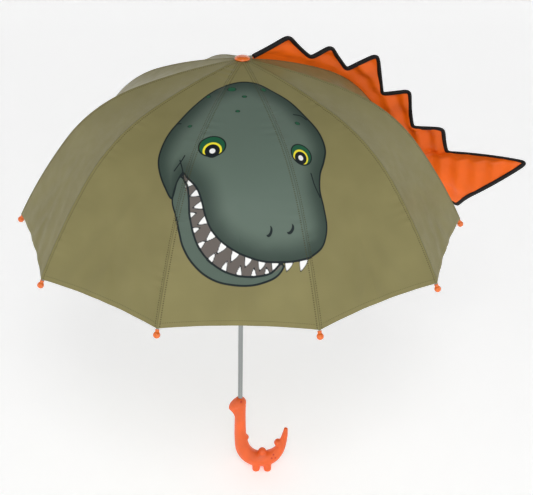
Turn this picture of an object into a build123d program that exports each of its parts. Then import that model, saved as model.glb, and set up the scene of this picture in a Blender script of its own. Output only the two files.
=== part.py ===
from build123d import *
import os
from math import asin, atan, ceil, cos, degrees, hypot, radians, sin, tan

# Child's stick umbrella with a ten-panel dome, a cloth spine fin and a long-necked dinosaur for a hook.
# Millimetres, +Z up the shaft, origin on the shaft's axis at the hand grip, front towards -Y.
# A radial piece is drawn in the XZ plane, pointing along +X, and is then turned about the shaft.

# ---- driving dimensions ----
ribs = 10
open_radius = 340.0        # from the shaft's axis to a canopy corner
canopy_top = 650.0         # height of the canopy's peak
shaft_radius = 4.0
shaft_wall = 0.6
shaft_bottom = -40.0       # the tube ends inside the handle's neck

# Canopy seam: three tangent arcs, as (slope at its start, slope at its end, share of the open radius).
seam_arcs = [(10.5, 23.0, 0.47), (23.0, 53.0, 0.30), (53.0, 63.5, 0.23)]

cloth = 0.6                # canopy thickness
seam_gap = 0.15            # each panel stops this far from the seam's plane
peak_hole = 5.0            # the panels start at this radius

rib_top = 1.5              # rib's back below the cloth's outer face
rib_depth = 3.0
rib_width = 2.6
rib_sheet = 0.5
rib_past_hem = 6.0
rib_channel_start = 14.5
flat_thickness = 1.6       # pressed flat eyes of the ribs and stretchers
eye_radius = 1.5
wire_radius = 0.6
wire_play = 0.1

notch_pivot = 7.5          # radius of the top notch's wire ring
notch_radius = 10.0
notch_top = canopy_top - 3.1
notch_height = 6.0
slot_width = 2.3

rivet_at = 158.0           # radius of the stretcher's rivet
rivet_radius = 0.8
stretcher_width = 4.5
stretcher_depth = 2.4
stretcher_sheet = 0.6
stretcher_short = 1.0      # the inner end stops this far from the runner pivot's centre

runner_pivot = 9.0
runner_pivot_z = 519.0     # height of the runner's wire ring when open
runner_travel = 178.0
crown_radius = 11.5
crown_above = 3.0
crown_below = 4.0
sleeve_radius = 7.5
sleeve_length = 40.0
thumb_radius = 10.0
thumb_height = 3.0
bore_play = 0.06
keyway_reach = 6.5
keyway_width = 2.6

catch_reach = 6.2
catch_width = 2.0
catch_length = 12.0
catch_play = 0.35
catch_root = 1.0           # the catch's inner end, inside the tube
catch_nose = 1.2           # flat on the catch's nose

tip_radius = 4.8
tip_neck = 2.8
cap_radius = 11.5
cap_height = 4.2

# Spine fin on the seam of rib 4: (distance along the seam, height off it, lean towards the front).
fin_rib = 4
fin_sheet = 1.2
binding_radius = 2.2
link_share = 0.97          # a binding link's radius as a share of the ball's at its end
sheet_side = Vector(0.39, 0.8, 0.46)   # the way the fin's sheet has its thickness
fin_outline = [
    (18, 4, 20), (64, 42, 20), (124, 13, 20), (146, 40, 22), (200, 13, 25), (220, 60, 28),
    (286, 21, 30), (305, 62, 32), (373, 39, 38), (392, 86, 42), (438, 78, 45), (462, 208, 55),
    (500, 112, 70), (530, 80, 70), (442, 5, 40),
]
fin_foot = 2.0             # the fin's foot stands this far off the seam
fin_step = 25.0            # longest stretch of seam under one facet

# Handle: the hook's centre line as (x, z, radius), from the head down the neck and round to the tail.
hook_line = [
    (0, 36, 10), (0, 20, 9.5), (0, -10, 10), (0.5, -30, 10.5), (4, -56, 13), (13, -71, 14),
    (26, -79.5, 14), (39, -80, 14), (52, -77.5, 13.5), (64, -67, 11), (71.5, -55, 8),
    (76, -37, 6.2), (79, -20, 4.6), (79, -15, 4),
]
head = (-0.5, 41.5, 11)
snout = (-13, 34, 6)
tail_end = (79, -15.5, 4.2)
back_humps = [(66, -44, 7), (39, -64, 7.5), (9.5, -33, 6)]
foot_radius = 6.5
foot_x = [28.5, 48.5]
foot_y = 7.5
foot_height = 18.0
bore_top = 60.0            # the bore runs out through the top of the head
sole_z = -98.0

# ---- the seam's curve ----


def arc_data():
    """Each arc of the seam as (centre x, centre z, radius, start slope, end slope)."""
    found = []
    x, z = 0.0, 0.0
    for start, end, share in seam_arcs:
        radius = share * open_radius / (sin(radians(end)) - sin(radians(start)))
        centre = (x - radius * sin(radians(start)), z - radius * cos(radians(start)))
        found.append((centre[0], centre[1], radius, start, end))
        x = centre[0] + radius * sin(radians(end))
        z = centre[1] + radius * cos(radians(end))
    return found


seam = arc_data()


def at_slope(arc, slope, depth=0.0):
    """The point (x, z) of an arc where it has this slope, at a depth below the cloth's face."""
    cx, cz, radius, _, _ = arc
    reach = radius - depth
    return cx + reach * sin(radians(slope)), cz + reach * cos(radians(slope))


def slope_at_x(arc, x, depth=0.0):
    return degrees(asin((x - arc[0]) / (arc[2] - depth)))


def along_seam(distance):
    """(x, z, slope) at a distance along the seam, going straight on past its end."""
    for arc in seam:
        length = arc[2] * radians(arc[4] - arc[3])
        if distance <= length:
            slope = arc[3] + degrees(distance / arc[2])
            x, z = at_slope(arc, slope)
            return x, z, slope
        distance -= length
    slope = seam[-1][4]
    x, z = at_slope(seam[-1], slope)
    return x + distance * cos(radians(slope)), z - distance * sin(radians(slope)), slope


def band(arcs, outer_depth, inner_depth, half_width):
    """A strip that follows the arcs between two depths, given its width across the XZ plane."""
    edges = []
    for depth in (outer_depth, inner_depth):
        for cx, cz, radius, start, end in arcs:
            edges.append(CenterArc((cx, cz), radius - depth, 90 - start, start - end))
    first, last = arcs[0], arcs[-1]
    edges.append(Line(at_slope(first, first[3], outer_depth), at_slope(first, first[3], inner_depth)))
    edges.append(Line(at_slope(last, last[4], outer_depth), at_slope(last, last[4], inner_depth)))
    face = Plane.XZ * make_face(edges)
    return extrude(face, amount=half_width, both=True)


def cut_arcs(arcs, start_slope, end_slope):
    """The arcs with the first one started and the last one ended at other slopes."""
    found = [list(arc) for arc in arcs]
    found[0][3] = start_slope
    found[-1][4] = end_slope
    return [tuple(arc) for arc in found]


def across(x, z, radius, half_length):
    """A round bar through (x, z), lying along Y."""
    return Pos(x, 0, z) * Rot(90, 0, 0) * Cylinder(radius, 2 * half_length)


def ring(pivot_radius, z, radius):
    return Pos(0, 0, z) * Torus(pivot_radius, radius)


def place(shape, azimuth):
    """Turns a piece drawn along +X to its azimuth, counted from the front towards +X."""
    return Rot(0, 0, azimuth - 90) * shape


def save(shape, name):
    os.makedirs("parts", exist_ok=True)
    export_step(shape, f"parts/{name}.step")


def radial_slots(inner_radius, z_low, z_high):
    """The slots, one for each rib, cut from this radius outwards."""
    reach = 12.0
    slot = Pos(inner_radius + reach / 2, 0, (z_low + z_high) / 2) * Box(reach, slot_width, z_high - z_low)
    return [place(slot, rib_azimuth(k)) for k in range(1, ribs + 1)]


def rib_azimuth(k):
    return 360 / ribs * (k - 0.5)


def panel_azimuth(k):
    return 360 / ribs * k


# ---- pivots ----
notch_slope = slope_at_x(seam[0], notch_pivot, rib_top + rib_depth / 2)
pivot_x, pivot_z = at_slope(seam[0], notch_slope, rib_top + rib_depth / 2)
rivet_slope = slope_at_x(seam[0], rivet_at, rib_top + rib_depth / 2)
rivet_x, rivet_z = at_slope(seam[0], rivet_slope, rib_top + rib_depth / 2)
hem_slope = seam[-1][4]
rib_end_slope = hem_slope + degrees(rib_past_hem / seam[-1][2])


# ---- ribs and tips ----
def make_rib():
    """A pressed channel, open below, with a flat eye for the top notch's wire."""
    start = slope_at_x(seam[0], rib_channel_start)
    groove_start = slope_at_x(seam[0], rib_channel_start + 4)
    flat_end = slope_at_x(seam[0], rib_channel_start + 2)
    under = rib_top + rib_depth
    rib = band(cut_arcs(seam, start, rib_end_slope), rib_top, under, rib_width / 2)
    groove = band(cut_arcs(seam, groove_start, rib_end_slope + 0.1), rib_top + rib_sheet, under + 1,
                  rib_width / 2 - rib_sheet)
    flat = band(cut_arcs(seam[:1], notch_slope, flat_end), rib_top, under, flat_thickness / 2)
    eye = across(pivot_x, pivot_z, eye_radius, flat_thickness / 2)
    rib = rib - groove + flat + eye
    rib = rib - across(pivot_x, pivot_z, wire_radius + wire_play, 5)
    return rib - across(rivet_x, rivet_z, rivet_radius + 0.05, 5)


def make_tip():
    """A ball tip, pushed over the rib's end, in line with the rib."""
    x, z = at_slope(seam[-1], hem_slope, rib_top + rib_depth / 2)
    lie = Plane(origin=(x, 0, z), z_dir=(cos(radians(hem_slope)), 0, -sin(radians(hem_slope))))
    neck = lie * Pos(0, 0, 4) * Cylinder(tip_neck, 6)
    ball = lie * Pos(0, 0, 8.5) * Sphere(tip_radius)
    socket_depth = rib_past_hem + 0.2
    socket = lie * Pos(0, 0, socket_depth / 2) * Cylinder(2.1, socket_depth)
    return neck + ball - socket


# ---- stretchers ----
def make_stretcher():
    """A channel with two ears on the rib's rivet and a flat end at the runner, and the rivet itself."""
    dx = runner_pivot - rivet_x
    dz = runner_pivot_z - canopy_top - rivet_z
    length = hypot(dx, dz)
    lie = Plane(origin=(rivet_x, 0, rivet_z), x_dir=(dx, 0, dz), z_dir=(dz, 0, -dx))
    half = stretcher_width / 2
    ear_start, ear_end = 5.5, 9.0
    channel_end = length - 8
    flat_length = 14.0
    middle = (ear_start + channel_end) / 2
    body = Pos(middle, 0, 0) * Box(channel_end - ear_start, stretcher_width, stretcher_depth)
    inside = stretcher_width - 2 * stretcher_sheet
    body -= Pos(middle, 0, stretcher_sheet) * Box(channel_end, inside, stretcher_depth)
    flat_middle = length - stretcher_short - flat_length / 2
    body += Pos(flat_middle, 0, 0) * Box(flat_length, flat_thickness, stretcher_depth)
    for side in (-1, 1):
        y = side * (half - stretcher_sheet / 2)
        ear = Pos(ear_end / 2, y, 0) * Box(ear_end, stretcher_sheet, 2 * eye_radius - 0.6)
        ear += Pos(0, y, 0) * Rot(90, 0, 0) * Cylinder(eye_radius, stretcher_sheet)
        body += ear
    body -= Rot(90, 0, 0) * Cylinder(rivet_radius + 0.02, 2 * stretcher_width)
    head = 0.5
    rivet = Rot(90, 0, 0) * Cylinder(rivet_radius, stretcher_width + head)
    for side in (-1, 1):
        head_y = side * (half + 0.02 + head / 2)
        rivet += Pos(0, head_y, 0) * Rot(90, 0, 0) * Cylinder(eye_radius - 0.1, head)
    return Compound(children=[lie * body, lie * rivet])


# ---- canopy ----
def panel_arcs():
    """The seam's arcs as the middle of a flat-sided panel sees them: nearer in by the cosine."""
    squeeze = cos(radians(180 / ribs))
    found = []
    x, z = 0.0, 0.0
    for start, end, share in seam_arcs:
        a = degrees(atan(tan(radians(start)) / squeeze))
        b = degrees(atan(tan(radians(end)) / squeeze))
        radius = share * open_radius * squeeze / (sin(radians(b)) - sin(radians(a)))
        centre = (x - radius * sin(radians(a)), z - radius * cos(radians(a)))
        found.append((centre[0], centre[1], radius, a, b))
        x = centre[0] + radius * sin(radians(b))
        z = centre[1] + radius * cos(radians(b))
    return found


def make_panel():
    """One triangular panel of cloth, between two seams."""
    arcs = panel_arcs()
    half_angle = radians(180 / ribs)
    start = slope_at_x(arcs[0], peak_hole)
    strip = band(cut_arcs(arcs, start, arcs[-1][4]), 0, cloth, open_radius * sin(half_angle) + 5)
    inner = seam_gap / sin(half_angle)
    far = open_radius + 40
    side = (far - inner) * tan(half_angle)
    wedge = extrude(make_face(Polyline((inner, 0), (far, side), (far, -side), close=True)), amount=open_radius)
    return strip & (Pos(0, 0, -open_radius + 5) * wedge)


# ---- spine fin ----
def fin_point(distance, height, lean):
    """A point off the seam of the fin's rib, leaning towards the front."""
    x, z, slope = along_seam(distance)
    up = cos(radians(lean)) * height
    x += up * sin(radians(slope))
    z += up * cos(radians(slope))
    return Vector(x, -height * sin(radians(lean)), z)


def fin_edge():
    """The jagged edge with points added so that no facet spans too much of the curved seam."""
    points = [fin_outline[0]]
    for a, b in zip(fin_outline, fin_outline[1:]):
        pieces = ceil(abs(b[0] - a[0]) / fin_step)
        for i in range(1, pieces + 1):
            points.append(tuple(p + (q - p) * i / pieces for p, q in zip(a, b)))
    return points


def make_fin():
    """A thin sheet of flat facets between the foot, which follows the seam, and the jagged edge."""
    points = fin_edge()
    last = points[-1][0]
    edge = [fin_point(*point) for point in points]
    foot = [fin_point(min(s, last), fin_foot, min(lean, 40)) for s, _, lean in points]
    facets = []
    loop = []
    for j in range(len(edge) - 1):
        a, b, c, d = foot[j], foot[j + 1], edge[j + 1], edge[j]
        if (b - a).length > 0.5:
            facets.append((a, b, d))
            facets.append((b, c, d))
            loop.append((a, b))
        else:
            facets.append((a, c, d))
            foot[j + 1] = a
        loop.append((c, d))
    loop.append((edge[0], foot[0]))
    loop.append((foot[-1], edge[-1]))
    thick = sheet_side * fin_sheet
    faces = []
    for corners in facets:
        faces.append(Face(Wire.make_polygon(corners)))
        faces.append(Face(Wire.make_polygon([p + thick for p in corners])))
    for p, q in loop:
        faces.append(Face(Wire.make_polygon([p, q, q + thick, p + thick])))
    return Solid(Shell(faces))


def make_binding():
    """Round tape along the fin's jagged edge."""
    edge = [fin_point(*point) + sheet_side * (fin_sheet / 2) for point in fin_edge()]
    tape = Pos(*edge[0]) * Sphere(binding_radius)
    for p, q in zip(edge, edge[1:]):
        run = q - p
        tape += Plane(origin=(p + q) * 0.5, z_dir=run) * Cylinder(binding_radius * link_share, run.length)
        tape += Pos(*q) * Sphere(binding_radius)
    return tape


# ---- shaft, notch, cap ----
upper_catch_z = runner_pivot_z - crown_below - sleeve_length - 0.4
window_high = -14.0        # window in the runner's sleeve, from the pivot's height
window_low = -28.0
lower_catch_z = runner_pivot_z - runner_travel + window_low + 0.4
stop_z = runner_pivot_z + crown_above + 0.4 + 0.75


def make_shaft():
    top = canopy_top + 1.5
    length = top - shaft_bottom
    tube = Pos(0, 0, (top + shaft_bottom) / 2) * Cylinder(shaft_radius, length)
    tube -= Pos(0, 0, (top + shaft_bottom) / 2) * Cylinder(shaft_radius - shaft_wall, length + 2)
    width = catch_width + 2 * catch_play
    height = catch_length + 2 * catch_play
    for z in (upper_catch_z - catch_length / 2, lower_catch_z + catch_length / 2):
        tube -= Pos(0, shaft_radius, z) * Box(width, 3, height)
    return tube - Pos(0, 0, stop_z) * Rot(0, 90, 0) * Cylinder(0.77, 4 * shaft_radius)


def make_notch():
    notch = Pos(0, 0, notch_top - notch_height / 2) * Cylinder(notch_radius, notch_height)
    notch -= Pos(0, 0, notch_top - notch_height / 2) * Cylinder(shaft_radius + 0.03, notch_height + 2)
    for slot in radial_slots(5.6, notch_top - notch_height - 1, notch_top + 1):
        notch -= slot
    return notch - ring(notch_pivot, canopy_top + pivot_z, wire_radius + 0.05)


def make_washer():
    """A cone-shaped disc between the cap and the cloth."""
    fall = 0.185
    low, high, inner, outer = 0.3, 0.8, 4.1, 10.5
    outline = Polyline((inner, low - fall * inner), (outer, low - fall * outer),
                       (outer, high - fall * outer), (inner, high - fall * inner), close=True)
    return Pos(0, 0, canopy_top) * revolve(Plane.XZ * make_face(outline), axis=Axis.Z)


def make_cap():
    """A low domed button on the shaft's end, with a conical seat."""
    inner = shaft_radius + 0.03
    seat = 0.84
    fall = 0.185
    rim_low = seat - fall * cap_radius
    rim_high = rim_low + 1.2
    dome = ThreePointArc((0, cap_height), (cap_radius * 0.62, cap_height - 1.15), (cap_radius, rim_high))
    rest = Polyline((cap_radius, rim_high), (cap_radius, rim_low), (inner, seat - fall * inner),
                    (inner, 1.6), (0, 1.6), (0, cap_height))
    return Pos(0, 0, canopy_top) * revolve(Plane.XZ * make_face([dome, rest]), axis=Axis.Z)


# ---- runner and catches ----
def make_runner():
    """The sliding crown and sleeve, with a slot for each stretcher and a keyway over the catches."""
    crown_height = crown_above + crown_below
    crown = Pos(0, 0, (crown_above - crown_below) / 2) * Cylinder(crown_radius, crown_height)
    for slot in radial_slots(7.2, -crown_below - 1, crown_above + 1):
        crown -= slot
    crown -= ring(runner_pivot, 0, wire_radius + 0.05)
    sleeve_low = -crown_below - sleeve_length
    sleeve = Pos(0, 0, -crown_below - sleeve_length / 2) * Cylinder(sleeve_radius, sleeve_length)
    thumb = Pos(0, 0, sleeve_low + thumb_height / 2) * Cylinder(thumb_radius, thumb_height)
    runner = crown + sleeve + thumb
    height = crown_height + sleeve_length + 2
    middle = (crown_above + sleeve_low) / 2
    runner -= Pos(0, 0, middle) * Cylinder(shaft_radius + bore_play, height)
    runner -= Pos(0, keyway_reach / 2, middle) * Box(keyway_width, keyway_reach, height)
    window = Box(keyway_width, sleeve_radius, window_high - window_low)
    runner -= Pos(0, keyway_reach, (window_high + window_low) / 2) * window
    return Pos(0, 0, runner_pivot_z) * runner


def make_catch(ledge_z, way):
    """A spring catch: a flat ledge and a long slope. way is -1 where the slope runs down from the ledge."""
    heel = shaft_radius + 0.1
    outline = Polyline((catch_root, 0), (catch_reach, 0), (catch_reach, way * catch_nose),
                       (heel, way * (catch_length - 1)), (heel, way * catch_length),
                       (catch_root, way * catch_length), close=True)
    catch = extrude(Plane.XZ * make_face(outline), amount=catch_width / 2, both=True)
    return Pos(0, 0, ledge_z) * place(catch, 180)


# ---- handle ----
def make_handle():
    """One smooth skin over round sections along the hook's line, with head, snout, humps and four feet."""
    sections = []
    for i, (x, z, radius) in enumerate(hook_line):
        before, after = hook_line[max(i - 1, 0)], hook_line[min(i + 1, len(hook_line) - 1)]
        across_line = Plane(origin=(x, 0, z), z_dir=(after[0] - before[0], 0, after[1] - before[1]),
                            x_dir=(0, 1, 0))
        sections.append(across_line * Circle(radius))
    body = loft(sections, ruled=True)
    for x, z, radius in [head, snout, tail_end] + back_humps:
        body += Pos(x, 0, z) * Sphere(radius)
    for x in foot_x:
        for side in (-1, 1):
            body += Pos(x, side * foot_y, sole_z + foot_height / 2) * Cylinder(foot_radius, foot_height)
    bore_length = bore_top - shaft_bottom + 1
    bore = Pos(0, 0, bore_top - bore_length / 2) * Cylinder(shaft_radius + 0.03, bore_length)
    return body - bore


# ---- write the pieces ----
rib, tip, stretcher, panel = make_rib(), make_tip(), make_stretcher(), make_panel()
up = Pos(0, 0, canopy_top)
for k in range(1, ribs + 1):
    save(place(up * rib, rib_azimuth(k)), f"rib_{k:02d}")
    save(place(up * tip, rib_azimuth(k)), f"tip_{k:02d}")
    save(place(up * stretcher, rib_azimuth(k)), f"stretcher_{k:02d}")
    save(place(up * panel, panel_azimuth(k)), f"panel_{k:02d}")
save(place(up * make_fin(), rib_azimuth(fin_rib)), "spine_fin")
save(place(up * make_binding(), rib_azimuth(fin_rib)), "fin_binding")
save(make_shaft(), "shaft_tube")
save(make_notch(), "top_notch")
save(ring(notch_pivot, canopy_top + pivot_z, wire_radius), "notch_wire")
save(make_washer(), "canopy_washer")
save(make_cap(), "top_cap")
save(Pos(0, 0, stop_z) * Rot(0, 90, 0) * Cylinder(0.75, 11.2), "stop_pin")
save(make_runner(), "runner")
save(ring(runner_pivot, runner_pivot_z, wire_radius), "runner_wire")
save(make_catch(upper_catch_z, -1), "upper_catch")
save(make_catch(lower_catch_z, 1), "lower_catch")
save(make_handle(), "handle")
print("rib pivot", round(pivot_x, 3), round(canopy_top + pivot_z, 3))
print("rivet", round(rivet_x, 3), round(canopy_top + rivet_z, 3))
print("catches", upper_catch_z, lower_catch_z)
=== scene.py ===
import math

import bmesh
import bpy
import numpy as np
from mathutils import Matrix, Vector


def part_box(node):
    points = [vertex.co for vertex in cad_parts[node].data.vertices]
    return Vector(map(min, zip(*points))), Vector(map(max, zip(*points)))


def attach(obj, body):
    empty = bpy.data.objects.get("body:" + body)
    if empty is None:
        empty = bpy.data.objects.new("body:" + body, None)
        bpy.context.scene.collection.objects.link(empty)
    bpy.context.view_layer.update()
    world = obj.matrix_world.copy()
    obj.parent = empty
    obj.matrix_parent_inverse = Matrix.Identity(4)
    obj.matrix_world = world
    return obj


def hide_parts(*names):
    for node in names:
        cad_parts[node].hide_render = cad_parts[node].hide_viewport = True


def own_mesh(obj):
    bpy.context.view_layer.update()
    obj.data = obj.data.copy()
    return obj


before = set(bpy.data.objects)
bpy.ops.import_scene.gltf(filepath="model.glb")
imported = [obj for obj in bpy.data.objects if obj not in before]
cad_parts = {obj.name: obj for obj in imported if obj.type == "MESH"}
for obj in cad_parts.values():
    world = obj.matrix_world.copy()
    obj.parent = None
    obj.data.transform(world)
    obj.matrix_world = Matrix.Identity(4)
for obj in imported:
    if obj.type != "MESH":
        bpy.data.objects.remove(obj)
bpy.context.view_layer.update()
print("frame loaded:", len(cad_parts), "nodes")


# the umbrella's own measures, in metres, as the frame has them
umbrella = {
    "ribs": 10,
    "openRadius": 0.340,
    "peakHeight": 0.650,
    # the seam's three arcs: slope at the start, slope at the end, share of the open radius
    "seamArcs": ((10.5, 23.0, 0.47), (23.0, 53.0, 0.30), (53.0, 63.5, 0.23)),
    "finRib": 4,
}


def smooth(t):
    # 3t^2 - 2t^3, held between 0 and 1
    t = np.clip(t, 0.0, 1.0)
    return t * t * (3.0 - 2.0 * t)


def seamTable(steps=400):
    # walks the three tangent arcs: radius = extent / (sin end - sin start), x grows with sin, z falls with cos
    xs, zs, ds, slopes = [0.0], [0.0], [0.0], [umbrella["seamArcs"][0][0]]
    for start, end, share in umbrella["seamArcs"]:
        radius = share * umbrella["openRadius"] / (math.sin(math.radians(end)) - math.sin(math.radians(start)))
        angle = np.radians(np.linspace(start, end, steps)[1:])
        first = math.radians(start)
        x0, z0, d0 = xs[-1], zs[-1], ds[-1]
        xs += list(x0 + radius * (np.sin(angle) - math.sin(first)))
        zs += list(z0 + radius * (np.cos(angle) - math.cos(first)))
        ds += list(d0 + radius * (angle - first))
        slopes += list(np.degrees(angle))
    return np.array(xs), np.array(zs), np.array(ds), np.radians(slopes)


seamX, seamZ, seamD, seamSlope = seamTable()
seamLength = float(seamD[-1])


def alongSeam(distance):
    # radius, height and slope at a distance along the seam, straight on past its end
    d = np.asarray(distance, float)
    inside = np.clip(d, 0.0, seamLength)
    x = np.interp(inside, seamD, seamX)
    z = np.interp(inside, seamD, seamZ)
    slope = np.interp(inside, seamD, seamSlope)
    past = d - inside
    return x + past * np.cos(slope), umbrella["peakHeight"] + z - past * np.sin(slope), slope


def ribAzimuth(k):
    return math.radians(360.0 / umbrella["ribs"] * (k - 0.5))


def panelAzimuth(k):
    return math.radians(360.0 / umbrella["ribs"] * k)


def outward(azimuth):
    # azimuth counts from the front (-Y) towards +X
    return np.array([math.sin(azimuth), -math.cos(azimuth), 0.0])


def sideways(azimuth):
    return np.array([math.cos(azimuth), math.sin(azimuth), 0.0])


def placed(local, azimuth):
    # local (out, across, up) turned about the shaft
    local = np.asarray(local, float)
    return (local[..., :1] * outward(azimuth) + local[..., 1:2] * sideways(azimuth)
            + local[..., 2:3] * np.array([0.0, 0.0, 1.0]))


# meshes
def makeMesh(name, points, faces, material):
    mesh = bpy.data.meshes.new(name)
    mesh.from_pydata(np.asarray(points).reshape(-1, 3).tolist(), [], faces)
    mesh.validate()
    mesh.polygons.foreach_set("use_smooth", np.ones(len(mesh.polygons), bool))
    obj = bpy.data.objects.new(name, mesh)
    bpy.context.scene.collection.objects.link(obj)
    mesh.materials.append(material)
    return obj


def gridFaces(rows, cols, wrapCols=False):
    # quads between neighbours of a rows x cols grid; wrapped columns join the last to the first
    i = np.arange(rows - 1)
    j = np.arange(cols if wrapCols else cols - 1)
    a, b = np.meshgrid(i, j, indexing="ij")
    c, d = a + 1, (b + 1) % cols
    return np.stack([a * cols + b, a * cols + d, c * cols + d, c * cols + b], -1).reshape(-1, 4)


def addUv(obj, u, v):
    # the piece's own map, in metres across and along
    layer = obj.data.uv_layers.new(name="UVMap")
    loops = np.empty(len(obj.data.loops), np.int32)
    obj.data.loops.foreach_get("vertex_index", loops)
    layer.data.foreach_set("uv", np.stack([np.ravel(u)[loops], np.ravel(v)[loops]], -1).astype(np.float32).ravel())


def addValues(obj, name, values):
    layer = obj.data.attributes.new(name, "FLOAT", "POINT")
    layer.data.foreach_set("value", np.ravel(values).astype(np.float32))


def sweep(path, radii, sides=12, up=(0.0, 0.0, 1.0)):
    # rings of the given radii square to the path; the frame is carried along so that it doesn't twist
    path = np.asarray(path, float)
    tangent = np.gradient(path, axis=0)
    tangent /= np.linalg.norm(tangent, axis=1)[:, None]
    normal = np.array(up, float)
    normals = []
    for t in tangent:
        normal = normal - t * (normal @ t)
        normal = normal / np.linalg.norm(normal)
        normals.append(normal)
    normals = np.array(normals)
    side = np.cross(tangent, normals)
    turn = np.linspace(0.0, 2.0 * math.pi, sides, endpoint=False)
    radii = np.broadcast_to(np.asarray(radii, float), (len(path),))
    ring = (np.cos(turn)[None, :, None] * side[:, None, :]
            + np.sin(turn)[None, :, None] * normals[:, None, :]) * radii[:, None, None]
    points = (path[:, None, :] + ring).reshape(-1, 3)
    faces = gridFaces(len(path), sides, wrapCols=True)[:, ::-1].tolist()
    faces.append(list(range(sides)))
    faces.append(list(range(len(points) - sides, len(points)))[::-1])
    return points, faces


def outwardFaces(obj):
    work = bmesh.new()
    work.from_mesh(obj.data)
    bmesh.ops.recalc_face_normals(work, faces=work.faces)
    work.to_mesh(obj.data)
    work.free()


def applied(obj):
    # the mesh with its modifiers worked in
    bpy.context.view_layer.update()
    ready = bpy.data.meshes.new_from_object(obj.evaluated_get(bpy.context.evaluated_depsgraph_get()))
    obj.modifiers.clear()
    obj.data = ready
    return obj


# material building
def newMaterial(name):
    material = bpy.data.materials.new(name)
    material.use_nodes = True
    tree = material.node_tree
    tree.nodes.clear()
    out = tree.nodes.new("ShaderNodeOutputMaterial")
    shader = tree.nodes.new("ShaderNodeBsdfPrincipled")
    tree.links.new(shader.outputs[0], out.inputs[0])
    return material, tree, shader


def link(tree, a, b):
    tree.links.new(a, b)


def value(tree, operation, a, b=None, clamp=False):
    node = tree.nodes.new("ShaderNodeMath")
    node.operation = operation
    node.use_clamp = clamp
    for i, x in enumerate((a, b)):
        if x is None:
            continue
        if isinstance(x, (int, float)):
            node.inputs[i].default_value = x
        else:
            tree.links.new(x, node.inputs[i])
    return node.outputs[0]


def mixColor(tree, factor, a, b):
    node = tree.nodes.new("ShaderNodeMix")
    node.data_type = "RGBA"
    for socket, x in ((node.inputs[0], factor), (node.inputs[6], a), (node.inputs[7], b)):
        if isinstance(x, (int, float)):
            socket.default_value = x
        elif isinstance(x, (tuple, list)):
            socket.default_value = (*x, 1.0)
        else:
            tree.links.new(x, socket)
    return node.outputs[2]


def ramp(tree, x, low, high, outLow=0.0, outHigh=1.0):
    node = tree.nodes.new("ShaderNodeMapRange")
    node.inputs[1].default_value = low
    node.inputs[2].default_value = high
    node.inputs[3].default_value = outLow
    node.inputs[4].default_value = outHigh
    tree.links.new(x, node.inputs[0])
    return node.outputs[0]


def noise(tree, coordinates, scale, detail=3.0, stretch=None):
    if stretch:
        mapping = tree.nodes.new("ShaderNodeMapping")
        mapping.inputs["Scale"].default_value = stretch
        tree.links.new(coordinates, mapping.inputs[0])
        coordinates = mapping.outputs[0]
    node = tree.nodes.new("ShaderNodeTexNoise")
    node.inputs["Scale"].default_value = scale
    node.inputs["Detail"].default_value = detail
    tree.links.new(coordinates, node.inputs["Vector"])
    return node.outputs[0]


def waves(tree, coordinates, direction, scale):
    node = tree.nodes.new("ShaderNodeTexWave")
    node.wave_type = "BANDS"
    node.bands_direction = direction
    node.wave_profile = "SIN"
    node.inputs["Scale"].default_value = scale
    node.inputs["Distortion"].default_value = 0.0
    tree.links.new(coordinates, node.inputs["Vector"])
    return node.outputs["Fac"]


def bump(tree, shader, height, strength, distance):
    node = tree.nodes.new("ShaderNodeBump")
    node.inputs["Strength"].default_value = strength
    node.inputs["Distance"].default_value = distance
    tree.links.new(height, node.inputs["Height"])
    tree.links.new(node.outputs[0], shader.inputs["Normal"])


def coordinates(tree, kind="Object"):
    return tree.nodes.new("ShaderNodeTexCoord").outputs[kind]


def attribute(tree, name):
    node = tree.nodes.new("ShaderNodeAttribute")
    node.attribute_name = name
    return node.outputs["Fac"]


def srgb(r, g, b):
    return tuple(((c / 255 + 0.055) / 1.055) ** 2.4 if c > 10 else c / 255 / 12.92 for c in (r, g, b))


nylon = {
    "color": srgb(139, 132, 88),
    "shade": srgb(131, 124, 82),
    "roughness": 0.44,
    "specular": 0.12,
    "sheen": 0.0,
    "threadsPerMetre": 2600.0,
}

ink = {
    "skin": srgb(98, 114, 103),
    "skinShade": srgb(50, 65, 58),
    "line": srgb(26, 36, 38),
    "lid": srgb(34, 92, 64),
    "yellow": srgb(246, 232, 60),
    "eye": srgb(24, 30, 34),
    "mouth": srgb(104, 97, 92),
    "white": srgb(246, 246, 244),
}


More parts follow.
